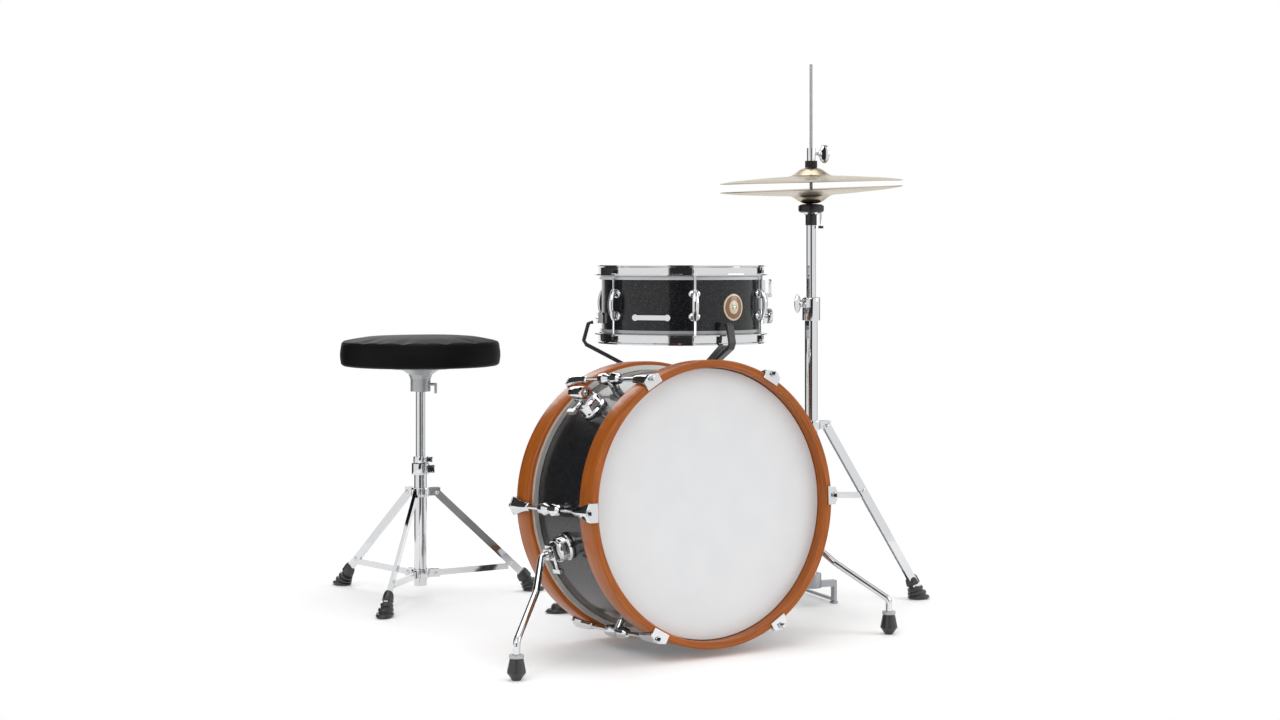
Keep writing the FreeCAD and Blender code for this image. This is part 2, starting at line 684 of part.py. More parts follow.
def make_snare_stand():
    node(tube("snare_post", Vector(0, 0, 30), S.thick_tube, S.tube_wall, 260), "snare_post", SNARE)
    make_collar("snare_collar", SNARE, 290, 60)
    make_screw("snare_wing_screw", SNARE, 290, 60)
    make_riser("snare_riser_tube", SNARE, 180, 387, S.thin_tube)
    make_tripod("snare_stand", SNARE, [32, 152, 272], 232, 150, 46)


HIHAT = unit_place(N.hihat_x, N.hihat_y)
HIHAT_LEGS = [-15, 200]
PEDAL_TURN = -10.0
HEEL = 300.0
ROLL_AXIS = Vector(0.527, 0.85, 0)
NOD_AXIS = Vector(0.85, -0.527, 0)


def leaning(roll, nod):
    """How a loose cymbal hangs on its rod."""
    return Rotation(NOD_AXIS, nod).multiply(Rotation(ROLL_AXIS, roll))


def cymbal_shape():
    """A bowed plate with a bell, as a profile of arcs turned about Z, edge at height 0."""
    edge = N.cymbal_radius
    points = [(5.0, 27.5), (17, 26.5), (27, 21), (38, 13.5), (52, 11.5), (118, 7.5), (edge, 0.6)]
    curve = Part.BSplineCurve()
    curve.interpolate([Vector(r, 0, z) for r, z in points])
    upper = curve.toShape()
    lower = upper.translated(Vector(0, 0, -N.cymbal_thick))
    first = Part.makeLine(upper.Vertexes[0].Point, lower.Vertexes[0].Point)
    last = Part.makeLine(upper.Vertexes[-1].Point, lower.Vertexes[-1].Point)
    face = Part.Face(Part.Wire(Part.__sortEdges__([upper, last, lower, first])))
    return face.revolve(Vector(), UP, 360)


def make_hihat():
    node(tube("hihat_post", Vector(0, 0, 34), S.thick_tube, S.tube_wall, 566), "hihat_post", HIHAT)
    make_collar("hihat_collar", HIHAT, 600, 200, drop=44, memory=False)
    make_screw("hihat_wing_screw", HIHAT, 600, 200)
    make_riser("hihat_riser_tube", HIHAT, 400, 742, S.thin_tube)
    seat = lathe("seat_cup", [
        (S.pull_rod_radius + 0.5, 742.3), (11, 742.3), (11, 762), (24, 769), (25, 772), (25, 780),
        (20, 783), (9, 784), (S.pull_rod_radius + 0.5, 784)])
    screw = rod("seat_screw", Vector(19, 0, 740), UP, 2, 30)
    thumb = rod("seat_thumb", Vector(19, 0, 736), UP, 5, 5)
    turned = HIHAT.multiply(Placement(Vector(), Rotation(UP, -40)))
    node(fuse("seat", [seat, screw, thumb]), "cymbal_seat", turned)
    plate = cymbal_shape()
    upside = Rotation(ALONG_X, 180)
    low = Placement(Vector(0, 0, 812.5), leaning(-2.3, 2.3).multiply(upside))
    high = Placement(Vector(0, 0, 826.5), leaning(-1.4, 2.3))
    node(coded("plate_low", plate, low), "bottom_cymbal", HIHAT)
    node(coded("plate_high", plate.copy(), high), "top_cymbal", HIHAT)
    node(rod("pull_rod", Vector(0, 0, 92), UP, S.pull_rod_radius, 965), "pull_rod", HIHAT)
    bore = S.pull_rod_radius + 0.1
    felt = lathe("felt", [(bore, 855), (12, 855), (12, 868), (bore, 868)])
    sleeve = lathe("sleeve", [(bore, 868.1), (8.5, 868.1), (8.5, 893), (bore, 893)])
    washer = lathe("washer", [(bore, 843), (8, 843), (8, 849.5), (bore, 849.5)])
    node(group("clutch", [felt, sleeve, washer]), "hihat_clutch", HIHAT)
    turned = HIHAT.multiply(Placement(Vector(), Rotation(UP, -31.8)))
    node(wing_screw("clutch_wing", Vector(8.8, 0, 882), ALONG_X, 5), "clutch_wing_screw", turned)
    make_hihat_pedal()
    make_tripod("hihat", HIHAT, HIHAT_LEGS, 234, 352, 214, 0.43, twin=True)


def make_hihat_pedal():
    """Base casting, floor frame and the hinged footboard."""
    turned = HIHAT.multiply(Placement(Vector(), Rotation(UP, PEDAL_TURN)))
    ring = lathe("pedal_ring", [(S.thick_tube + 0.3, 34), (20, 34), (20, 62), (S.thick_tube + 0.3, 62)])
    bridge = box("pedal_bridge", Vector(-52, -7, 34), 35, 14, 12)
    bridge_two = box("pedal_bridge_two", Vector(17, -7, 34), 35, 14, 12)
    sides = [box(f"pedal_side{side + 1}", Vector(50 * side - 3, -7, 4), 6, 14, 42) for side in (-1, 1)]
    shoes = [rod(f"pedal_shoe{side + 1}", Vector(50 * side, 0, 0), UP, 8, 4) for side in (-1, 1)]
    rails = [box(f"pedal_rail{side + 1}", Vector(50 * side - 3, 0, 5), 6, HEEL + 4, 5)
             for side in (-1, 1)]
    plate = box("heel_plate", Vector(-53, HEEL - 6, 0), 106, 52, 5)
    lugs = [box(f"heel_lug{side + 1}", Vector(48 * side - 3, HEEL - 6, 4), 6, 12, 16)
            for side in (-1, 1)]
    base = fuse("pedal_base", [ring, bridge, bridge_two, plate] + sides + shoes + rails + lugs)
    node(base, "hihat_base", turned)
    toe = 46.0
    length = HEEL - toe
    slope = math.degrees(math.atan2(68.0, length))
    board = box("board", Vector(-42, -length, -2), 84, length, 4)
    barrel = rod("board_barrel", Vector(-44, 0, 0), ALONG_X, 5, 88)
    link = box("board_link", Vector(-2, -length, 0), 4, 4, 24)
    foot = fuse("board_cast", [board, barrel, link])
    place = Placement(Vector(0, HEEL, 15), Rotation(ALONG_X, -slope))
    node(copies("footboard", foot, [turned.multiply(place)]), "hihat_footboard")


THRONE = unit_place(N.throne_x, N.throne_y)
THRONE_CLAMP = 328.2


def make_throne():
    node(tube("throne_post", Vector(0, 0, 24), S.thick_tube, S.tube_wall, 244), "throne_post", THRONE)
    make_collar("throne_collar", THRONE, 268, THRONE_CLAMP, bolted=True)
    make_lock_bolt("throne_lock_bolt", THRONE, 268, THRONE_CLAMP)
    make_riser("throne_riser_tube", THRONE, 100, 440, S.thin_tube)
    make_tripod("throne", THRONE, [108, 228, 348], 236, 211, 48)
    bracket = lathe("socket", [
        (S.thin_tube + 0.3, 412), (20, 412), (20, 436), (24, 446), (37, 455), (60, 457), (60, 461),
        (0, 461), (0, 440.3), (S.thin_tube + 0.3, 440.3)])
    lever = rod("socket_screw", Vector(19, 0, 426), ALONG_X, 3, 12)
    handle = box("socket_handle", Vector(29, -3, 408), 4, 6, 21)
    turned = THRONE.multiply(Placement(Vector(), Rotation(UP, -40)))
    node(fuse("seat_cast", [bracket, lever, handle]), "seat_bracket", turned)
    low = S.seat_low
    cushion = lathe("cushion", [
        (0, low + 0.2), (S.seat_radius - 6, low + 0.2), (S.seat_radius, low + 7),
        (S.seat_radius, low + 42), (S.seat_radius - 9, low + 51), (S.seat_radius - 40, low + 57),
        (0, S.seat_high)])
    node(cushion, "seat_cushion", THRONE)


def check_all():
    doc.recompute()
    for obj in doc.Objects:
        if "Invalid" in obj.State or "Error" in obj.State:
            raise RuntimeError(f"{obj.Name} failed: {obj.State}")
    for obj in nodes:
        shape = obj.Shape
        if shape.isNull() or not shape.isValid() or not shape.Solids:
            raise RuntimeError(f"{obj.Label} has no valid solid")


def write_all():
    os.makedirs("parts", exist_ok=True)
    for obj in nodes:
        obj.Shape.exportStep(f"parts/{obj.Label}.step")
        bounds = obj.Shape.BoundBox
        print(f"{obj.Label:24s} solids {len(obj.Shape.Solids):3d}  z {bounds.ZMin:7.1f} {bounds.ZMax:7.1f}")
    whole = Part.makeCompound([obj.Shape for obj in nodes]).BoundBox
    print(len(nodes), "nodes", whole)


for step in (make_bass_shell, make_bass_heads, make_bass_lugs, make_claws, make_bass_rods,
             make_brackets, make_spurs, make_snare_shell, make_rims, make_snare_lugs,
             make_snare_rods, make_snare_fittings, make_basket, make_snare_stand, make_hihat,
             make_throne):
    step()
check_all()
write_all()
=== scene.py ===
import json
import math

import bmesh
import bpy
from mathutils import Matrix, Vector, noise


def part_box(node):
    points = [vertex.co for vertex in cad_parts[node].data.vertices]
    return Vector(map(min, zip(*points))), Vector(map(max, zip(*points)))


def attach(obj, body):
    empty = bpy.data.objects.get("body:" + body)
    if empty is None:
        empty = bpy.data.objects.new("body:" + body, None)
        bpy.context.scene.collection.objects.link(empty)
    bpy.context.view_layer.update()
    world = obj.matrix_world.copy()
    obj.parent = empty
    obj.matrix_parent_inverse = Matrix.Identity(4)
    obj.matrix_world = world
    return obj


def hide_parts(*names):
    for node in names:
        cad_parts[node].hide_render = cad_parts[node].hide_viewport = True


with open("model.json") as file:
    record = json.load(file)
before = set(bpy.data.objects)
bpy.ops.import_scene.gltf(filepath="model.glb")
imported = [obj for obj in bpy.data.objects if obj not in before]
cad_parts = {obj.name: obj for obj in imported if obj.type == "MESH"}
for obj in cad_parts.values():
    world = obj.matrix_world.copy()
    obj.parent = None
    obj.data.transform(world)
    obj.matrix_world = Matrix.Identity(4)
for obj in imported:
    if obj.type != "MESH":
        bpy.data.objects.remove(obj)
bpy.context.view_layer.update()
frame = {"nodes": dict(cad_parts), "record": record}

bl_info = {
    "name": "Small Drum Kit",
    "version": (1, 0, 0),
    "blender": (4, 5, 0),
    "location": "3D View > Sidebar > Drum Kit",
    "description": "Finishes and soft pieces for a small acoustic drum kit",
    "category": "Object",
}

MM = 0.001
NODES = frame["nodes"]
BODY_OF = {node: body for body, members in frame["record"]["behaviour"]["bodies"].items()
           for node in members}


# ------------------------------------------------------------------ helpers

def centre(node):
    """The middle of a node's box."""
    low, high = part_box(node)
    return (low + high) / 2


def polar(radius, degrees, height=0.0):
    """A point at a radius and an angle about the vertical."""
    angle = math.radians(degrees)
    return Vector((radius * math.cos(angle), radius * math.sin(angle), height))


def new_object(name, mesh):
    """An object in the scene around a mesh."""
    obj = bpy.data.objects.new(name, mesh)
    bpy.context.scene.collection.objects.link(obj)
    return obj


def mesh_from(name, verts, faces):
    """A smooth-shaded mesh."""
    mesh = bpy.data.meshes.new(name)
    mesh.from_pydata([tuple(v) for v in verts], [], faces)
    mesh.polygons.foreach_set("use_smooth", [True] * len(mesh.polygons))
    mesh.update()
    return mesh


def turned(name, profile, steps=64):
    """A mesh turned about Z from an outline of radius and height pairs that starts and ends on Z."""
    verts = []
    faces = []
    rings = []
    for radius, height in profile:
        if radius < 1e-6:
            rings.append([len(verts)])
            verts.append(Vector((0, 0, height)))
            continue
        rings.append(list(range(len(verts), len(verts) + steps)))
        for step in range(steps):
            verts.append(polar(radius, 360 * step / steps, height))
    for lower, upper in zip(rings, rings[1:]):
        for step in range(steps):
            after = (step + 1) % steps
            if len(lower) == 1:
                faces.append((lower[0], upper[after], upper[step]))
            elif len(upper) == 1:
                faces.append((lower[step], lower[after], upper[0]))
            else:
                faces.append((lower[step], lower[after], upper[after], upper[step]))
    return mesh_from(name, verts, faces)


def join_meshes(name, meshes, smooth=True):
    """One mesh from several, which are used up."""
    whole = bmesh.new()
    for mesh in meshes:
        whole.from_mesh(mesh)
        bpy.data.meshes.remove(mesh)
    mesh = bpy.data.meshes.new(name)
    whole.to_mesh(mesh)
    whole.free()
    mesh.polygons.foreach_set("use_smooth", [smooth] * len(mesh.polygons))
    return mesh


def finish_with(obj, material):
    """One material over a whole object."""
    obj.data.materials.clear()
    obj.data.materials.append(material)


def add_piece(obj, body, material, slot, *nodes):
    """Give a piece its finish, its body and the CAD nodes that it stands for."""
    finish_with(obj, material)
    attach(obj, body)
    if nodes:
        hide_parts(*nodes)


def soften(obj, width, angle=32.0):
    """Broken edges, so that plated metal catches the light."""
    weld = obj.modifiers.new("weld", "WELD")
    weld.merge_threshold = 1e-5
    bevel = obj.modifiers.new("bevel", "BEVEL")
    bevel.width = width
    bevel.segments = 2
    bevel.limit_method = "ANGLE"
    bevel.angle_limit = math.radians(angle)
    bevel.harden_normals = True


# ---------------------------------------------------------------- materials

def linear(hex_colour):
    """An sRGB hex colour as linear RGBA."""
    parts = [int(hex_colour[i:i + 2], 16) / 255 for i in (1, 3, 5)]
    return [p / 12.92 if p <= 0.04045 else ((p + 0.055) / 1.055) ** 2.4 for p in parts] + [1.0]


def add(tree, kind, settings=None, links=None, values=None, stops=()):
    """Add a node with its properties, input values, links and colour stops."""
    made = tree.nodes.new(kind)
    for name, value in (settings or {}).items():
        setattr(made, name, value)
    for name, value in (values or {}).items():
        made.inputs[name].default_value = value
    for name, source in (links or {}).items():
        tree.links.new(getattr(source, "outputs", [source])[0], made.inputs[name])
    if stops:
        elements = made.color_ramp.elements
        elements[0].position, elements[0].color = stops[0]
        elements[1].position, elements[1].color = stops[-1]
        for position, colour in stops[1:-1]:
            elements.new(position).color = colour
    return made


def blank(name, **values):
    """A material with one Principled shader and its plain values."""
    material = bpy.data.materials.new(name)
    material.use_nodes = True
    tree = material.node_tree
    shader = tree.nodes["Principled BSDF"]
    for key, value in values.items():
        shader.inputs[key.replace("_", " ")].default_value = value
    return material, tree, shader


def tones(*stops):
    """Colour stops, each a position and an sRGB hex colour."""
    return [(position, linear(colour)) for position, colour in stops]


def surface(name, layers, **values):
    """A material of noise layers: the size in mm, the detail and what follows each one."""
    material, tree, shader = blank(name, **values)
    for size_mm, detail, uses in layers:
        place = add(tree, "ShaderNodeTexCoord")
        mapping = add(tree, "ShaderNodeMapping", links={"Vector": place.outputs["Object"]}, values={
            "Scale": [1000.0 / size_mm * along for along in uses.get("stretch", (1, 1, 1))]})
        noisy = add(tree, "ShaderNodeTexNoise", links={"Vector": mapping},
                    values={"Scale": 1.0, "Detail": detail, "Roughness": 0.55})
        if "tones" in uses:
            tone = add(tree, "ShaderNodeValToRGB", links={"Fac": noisy}, stops=tones(*uses["tones"]))
            tree.links.new(tone.outputs["Color"], shader.inputs["Base Color"])
        if "gloss" in uses:
            low, high = uses["gloss"]
            gloss = add(tree, "ShaderNodeMapRange", links={"Value": noisy},
                        values={"To Min": low, "To Max": high})
            tree.links.new(gloss.outputs["Result"], shader.inputs["Roughness"])
        if "relief" in uses:
            deep_mm, strength = uses["relief"]
            relief = add(tree, "ShaderNodeBump", links={"Height": noisy},
                         values={"Distance": deep_mm * MM, "Strength": strength})
            tree.links.new(relief.outputs["Normal"], shader.inputs["Normal"])
    return material


def plain_surfaces(look):
    """The materials whose pattern is only noise, by slot."""
    return {
        # Nickel-chrome plate on polished steel: mirror bright, with a faint polishing haze.
        "chrome": surface("chrome_plate", [(35.0, 4.0, {"gloss": (0.02, 0.09)})],
                          Metallic=1.0, Base_Color=list(look.chrome) + [1]),
        # Drawn bright steel: a fine grain along the rod, softer and greyer than chrome.
        "steel": surface("bright_steel", [(6.0, 2.0, {"gloss": (0.34, 0.42), "stretch": (1, 1, 0.1)})],
                         Metallic=1.0, Base_Color=linear("#A3A5A9")),
        # Single-ply polyester film, smooth white: satin, and very slightly uneven.
        "white_film": surface("head_film", [
            (60.0, 3.0, {"tones": ((0.3, "#D8D9DB"), (0.7, "#DCDDDE"))}),
            (1.6, 2.0, {"relief": (0.02, 0.3)})], Roughness=0.42, IOR=1.6),
        # Clear film over a dark drum: glossy, smoky grey.
        "clear_film": surface("clear_film", [
            (90.0, 2.0, {"tones": ((0.3, "#96989A"), (0.7, "#9FA1A2"))})],
            Roughness=0.12, IOR=1.6, Coat_Weight=0.6),
        # Rolled aluminium flesh hoop: pale satin, drawn out along its length.
        "flesh_hoop": surface("rolled_aluminium", [
            (60.0, 2.0, {"tones": ((0.3, "#D2D1CC"), (0.7, "#E0DFDA")), "gloss": (0.3, 0.4)})],
            Metallic=0.55, IOR=1.5),
        # Moulded rubber with a spark-eroded skin: nearly black, with a soft sheen on its ribs.
        "black_rubber": surface("moulded_rubber", [
            (1.5, 3.0, {"tones": ((0.3, "#1E1E1F"), (0.7, "#2C2C2D")), "gloss": (0.3, 0.45),
                        "relief": (0.15, 0.5)})], IOR=1.5, Coat_Weight=0.3, Coat_Roughness=0.3),
        # Injection-moulded nylon: satin black.
        "black_plastic": surface("black_nylon", [
            (2.0, 2.0, {"tones": ((0.3, "#0D0D0E"), (0.7, "#161617")), "gloss": (0.32, 0.45)})],
            IOR=1.53),
        # Die-cast zinc under silver-grey paint: satin with a slight orange peel.
        "cast_grey": surface("painted_casting", [
            (2.5, 2.0, {"tones": ((0.3, "#A6A8AA"), (0.7, "#B9BBBD")), "gloss": (0.3, 0.42),
                        "relief": (0.06, 0.4)})], IOR=1.5, Metallic=0.6),
        # Pressed wool felt: dull black with a fuzzy surface.
        "felt": surface("pressed_felt", [
            (1.2, 4.0, {"tones": ((0.3, "#0E0E0F"), (0.7, "#1F1F20")), "relief": (0.4, 0.6)})],
            Roughness=0.9, IOR=1.45, Sheen_Weight=0.3),
        # Stove enamel on a stamped badge, cream and brown: glossy with a little mottle.
        "badge": surface("badge_enamel", [
            (4.0, 2.0, {"tones": ((0.3, "#CDBE98"), (0.7, "#DCCFAE"))})],
            Roughness=0.25, IOR=1.5, Coat_Weight=0.7),
        "badge_ring": surface("badge_ring_enamel", [
            (4.0, 2.0, {"tones": ((0.3, "#7A4C30"), (0.7, "#8A5A3C"))})],
            Roughness=0.25, IOR=1.5, Coat_Weight=0.7),
    }


def sparkle_wrap():
    """Covering sheet of clear plastic over metal flake: deep gloss with small bright points."""
    material, tree, shader = blank("sparkle_wrap", Roughness=0.28, IOR=1.5, Coat_Weight=0.45,
                                   Coat_Roughness=0.03, Specular_IOR_Level=0.15)
    place = add(tree, "ShaderNodeTexCoord")
    # A real flake is 0.2 mm; drawn 0.9 mm so that it shows.
    flakes = add(tree, "ShaderNodeTexVoronoi", links={"Vector": place.outputs["Object"]},
                 values={"Scale": 1000.0 / 0.9})
    level = add(tree, "ShaderNodeSeparateColor", links={"Color": flakes.outputs["Color"]})
    tint = add(tree, "ShaderNodeValToRGB", links={"Fac": level.outputs["Red"]}, stops=tones(
        (0.0, "#0B0B0D"), (0.7, "#151618"), (0.93, "#2B2D31"), (1.0, "#55575D")))
    tree.links.new(tint.outputs["Color"], shader.inputs["Base Color"])
    metal = add(tree, "ShaderNodeMapRange", links={"Value": level.outputs["Green"]},
                values={"To Min": 0.0, "To Max": 0.22})
    tree.links.new(metal.outputs["Result"], shader.inputs["Metallic"])
    relief = add(tree, "ShaderNodeBump", links={"Height": level.outputs["Blue"]},
                 values={"Distance": 0.05 * MM, "Strength": 0.25})
    tree.links.new(relief.outputs["Normal"], shader.inputs["Normal"])
    return material


def stained_maple(look, axis):
    """Bent maple ply under orange-brown stain and satin lacquer: long grain round the hoop."""
    material, tree, shader = blank("stained_maple", IOR=1.5, Specular_IOR_Level=0.2,
                                   Coat_Weight=0.2, Coat_Roughness=0.12)
    place = add(tree, "ShaderNodeTexCoord")
    moved = add(tree, "ShaderNodeVectorMath", {"operation": "SUBTRACT"},
                {0: place.outputs["Object"]}, {1: axis})
    split = add(tree, "ShaderNodeSeparateXYZ", links={"Vector": moved.outputs["Vector"]})
    angle = add(tree, "ShaderNodeMath", {"operation": "ARCTAN2"},
                {0: split.outputs["Z"], 1: split.outputs["X"]})
    reach = add(tree, "ShaderNodeVectorMath", {"operation": "LENGTH"}, {0: moved.outputs["Vector"]})
    # Growth rings 3 mm apart and drawn out 90 mm along the bend.
    around = add(tree, "ShaderNodeMath", {"operation": "MULTIPLY"}, {0: angle.outputs[0]}, {1: 2.7})
    across = add(tree, "ShaderNodeMath", {"operation": "MULTIPLY"}, {0: split.outputs["Y"]}, {1: 330.0})
    deep = add(tree, "ShaderNodeMath", {"operation": "MULTIPLY"}, {0: reach.outputs["Value"]}, {1: 330.0})
    vector = add(tree, "ShaderNodeCombineXYZ", links={"X": around.outputs[0], "Y": across.outputs[0],
                                                      "Z": deep.outputs[0]})
    figure = add(tree, "ShaderNodeTexNoise", links={"Vector": vector.outputs[0]},
                 values={"Scale": 1.0, "Detail": 4.0, "Roughness": 0.6})
    colour = add(tree, "ShaderNodeValToRGB", links={"Fac": figure}, stops=tones(
        (0.25, look.stain_dark), (0.55, look.stain), (0.8, look.stain_light)))
    tree.links.new(colour.outputs["Color"], shader.inputs["Base Color"])
    gloss = add(tree, "ShaderNodeMapRange", links={"Value": figure},
                values={"To Min": 0.26, "To Max": 0.42})
    tree.links.new(gloss.outputs["Result"], shader.inputs["Roughness"])
    relief = add(tree, "ShaderNodeBump", links={"Height": figure},
                 values={"Distance": 0.12 * MM, "Strength": 0.35})
    tree.links.new(relief.outputs["Normal"], shader.inputs["Normal"])
    return material


def grained_vinyl():
    """Upholstery vinyl embossed with a fine leather grain: soft black sheen."""
    material, tree, shader = blank("grained_vinyl", IOR=1.4, Specular_IOR_Level=0.14)
    place = add(tree, "ShaderNodeTexCoord")
    # Leather cells about 1.8 mm across.
    cells = add(tree, "ShaderNodeTexVoronoi", {"feature": "DISTANCE_TO_EDGE"},
                {"Vector": place.outputs["Object"]}, {"Scale": 1000.0 / 1.8})
    # Wear in patches about 45 mm across.
    mapping = add(tree, "ShaderNodeMapping", links={"Vector": place.outputs["Object"]},
                  values={"Scale": [1000.0 / 45.0] * 3})
    worn = add(tree, "ShaderNodeTexNoise", links={"Vector": mapping},
               values={"Scale": 1.0, "Detail": 3.0, "Roughness": 0.55})
    tone = add(tree, "ShaderNodeValToRGB", links={"Fac": worn},
               stops=tones((0.3, "#070708"), (0.75, "#0F0F10")))
    tree.links.new(tone.outputs["Color"], shader.inputs["Base Color"])
    gloss = add(tree, "ShaderNodeMapRange", links={"Value": worn},
                values={"To Min": 0.48, "To Max": 0.6})
    tree.links.new(gloss.outputs["Result"], shader.inputs["Roughness"])
    relief = add(tree, "ShaderNodeBump", links={"Height": cells.outputs["Distance"]},
                 values={"Distance": 0.12 * MM, "Strength": 0.35})
    tree.links.new(relief.outputs["Normal"], shader.inputs["Normal"])
    return material


def cymbal_bronze(look, axis):
    """Lathed B20 bronze: fine turned grooves about the bell, pale gold with a soft anisotropic glow."""
    material, tree, shader = blank("cymbal_bronze", Metallic=1.0, Anisotropic=0.5)
    place = add(tree, "ShaderNodeTexCoord")
    moved = add(tree, "ShaderNodeVectorMath", {"operation": "SUBTRACT"},
                {0: place.outputs["Object"]}, {1: axis})
    flat = add(tree, "ShaderNodeVectorMath", {"operation": "MULTIPLY"},
               {0: moved.outputs["Vector"]}, {1: (1, 1, 0)})
    reach = add(tree, "ShaderNodeVectorMath", {"operation": "LENGTH"}, {0: flat.outputs["Vector"]})
    # Lathe grooves 2.5 mm apart, wider than the real 0.8 mm so that they show.
    ring = add(tree, "ShaderNodeMath", {"operation": "MULTIPLY"},
               {0: reach.outputs["Value"]}, {1: 2 * math.pi / (2.5 * MM)})
    wave = add(tree, "ShaderNodeMath", {"operation": "SINE"}, {0: ring.outputs[0]})
    # Broader tonal bands, about 4.5 mm across.
    banding = add(tree, "ShaderNodeMath", {"operation": "MULTIPLY"},
                  {0: reach.outputs["Value"]}, {1: 220.0})
    bands = add(tree, "ShaderNodeTexNoise", {"noise_dimensions": "1D"}, {"W": banding},
                {"Scale": 1.0, "Detail": 3.0})
    tint = add(tree, "ShaderNodeValToRGB", links={"Fac": bands},
               stops=tones((0.3, look.bronze_dark), (0.7, look.bronze)))
    tree.links.new(tint.outputs["Color"], shader.inputs["Base Color"])
    gloss = add(tree, "ShaderNodeMapRange", links={"Value": bands},
                values={"To Min": 0.22, "To Max": 0.36})
    tree.links.new(gloss.outputs["Result"], shader.inputs["Roughness"])
    relief = add(tree, "ShaderNodeBump", links={"Height": wave},
                 values={"Distance": 0.03 * MM, "Strength": 0.35})
    tree.links.new(relief.outputs["Normal"], shader.inputs["Normal"])
    return material


# ------------------------------------------------------------------ settings

def colour_property(name, description, hex_colour):
    return bpy.props.StringProperty(name=name, description=description, default=hex_colour)


class KitLook(bpy.types.PropertyGroup):
    chrome: bpy.props.FloatVectorProperty(
        name="Chrome", description="Colour of the chrome plate", subtype="COLOR", size=3,
        default=linear("#D8D9DB")[:3], min=0.0, max=1.0)
    stain: colour_property("Stain", "Middle tone of the wooden hoops", "#A0551A")
    stain_dark: colour_property("Dark stain", "Dark grain of the wooden hoops", "#7C400F")
    stain_light: colour_property("Light stain", "Light grain of the wooden hoops", "#B56821")
    bronze: colour_property("Bronze", "Light tone of the cymbals", "#C8BCA6")
    bronze_dark: colour_property("Dark bronze", "Dark tone of the cymbals", "#A4957B")
    rib: bpy.props.FloatProperty(
        name="Foot rib", description="Height of the ribs on the rubber feet",
        default=5.0 * MM, min=0.0, unit="LENGTH")


class KitStage(bpy.types.PropertyGroup):
    lens: bpy.props.FloatProperty(name="Lens", description="Focal length in millimetres on a 36 mm frame",
                                  default=56.0)
    turn: bpy.props.FloatProperty(name="Turn", description="Camera's turn from the drum's axis",
                                  default=math.radians(31.8), unit="ROTATION")
    height: bpy.props.FloatProperty(name="Eye height", description="Camera above the floor",
                                    default=0.6645, unit="LENGTH")
    drop: bpy.props.FloatProperty(name="Shift", description="Vertical lens shift", default=-95 / 1280)


MATERIALS = {}


def build_materials(look):
    MATERIALS.update(plain_surfaces(look))
    MATERIALS.update({
        "sparkle_wrap": sparkle_wrap(), "maple_hoop": stained_maple(look, centre("front_hoop")),
        "vinyl": grained_vinyl(), "bronze": cymbal_bronze(look, centre("pull_rod")),
        "clutch": MATERIALS["chrome"],
    })


# ---------------------------------------------------------------- operators

SOFT_EDGED = {
    "bass_tension_rods": 0.4, "spur_brackets": 1.2, "accessory_bracket": 1.2,
    "snare_tension_rods": 0.4, "strainer_body": 1.0, "strainer_lever": 0.8,
    "strainer_knob": 0.6, "butt_plate": 1.0, "name_plate": 0.5, "basket_arms": 0.8,
    "basket_grips": 1.6, "basket_hub": 1.0, "snare_collar": 0.9,
    "snare_stand_tripod": 0.9, "hihat_collar": 0.9, "hihat_tripod": 0.9,
    "hihat_footboard": 0.8, "hihat_base": 0.8, "throne_collar": 0.9,
    "throne_lock_bolt": 0.8, "throne_tripod": 0.9, "seat_bracket": 0.8, "cymbal_seat": 0.8,
    "front_hoop": 0.8, "rear_hoop": 0.8,
}


class KIT_OT_finishes(bpy.types.Operator):
    """Give every carried-over part its material and its broken edges"""
    bl_idname = "kit.finishes"
    bl_label = "Finishes"

    def execute(self, context):
        build_materials(context.scene.kit_look)
        for entry in frame["record"]["subparts"]:
            finish_with(NODES[entry["node"]], MATERIALS[entry["material_slot"]])
        for name, width in SOFT_EDGED.items():
            soften(NODES[name], width * MM)
        return {"FINISHED"}


def second_finish(name, material, wanted):
    """Another material on the faces whose middle passes a test."""
    mesh = NODES[name].data
    mesh.materials.append(material)
    for face in mesh.polygons:
        if wanted(face.center):
            face.material_index = 1


class KIT_OT_two_finishes(bpy.types.Operator):
    """Flesh hoops, felts, washers and screws that differ from the rest of their part"""
    bl_idname = "kit.two_finishes"
    bl_label = "Two-finish parts"

    def execute(self, context):
        for name in ("front_head", "rear_head"):
            low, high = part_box(name)
            middle = (low + high) / 2
            limit = (high.x - low.x) / 2 - 7.5 * MM

            def outside(point, middle=middle, limit=limit):
                return Vector((point.x - middle.x, point.z - middle.z)).length > limit
            second_finish(name, MATERIALS["flesh_hoop"], outside)
        felt_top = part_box("hihat_clutch")[1].z - 25.05 * MM
        second_finish("hihat_clutch", MATERIALS["felt"], lambda point: point.z < felt_top)
        rod = centre("pull_rod")
        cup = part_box("cymbal_seat")[0].z

        def screw(point):
            away = Vector((point.x - rod.x, point.y - rod.y)).length
            return away > 14 * MM and 5 * MM < point.z - cup < 31 * MM
        second_finish("cymbal_seat", MATERIALS["chrome"], screw)
        for name in ("spur_foot_left", "spur_foot_right"):
            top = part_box(name)[1].z - 5.3 * MM
            second_finish(name, MATERIALS["cast_grey"], lambda point, top=top: point.z > top)
        return {"FINISHED"}


BOOT_TALL = 50 * MM
RIB_DROOP = 0.2


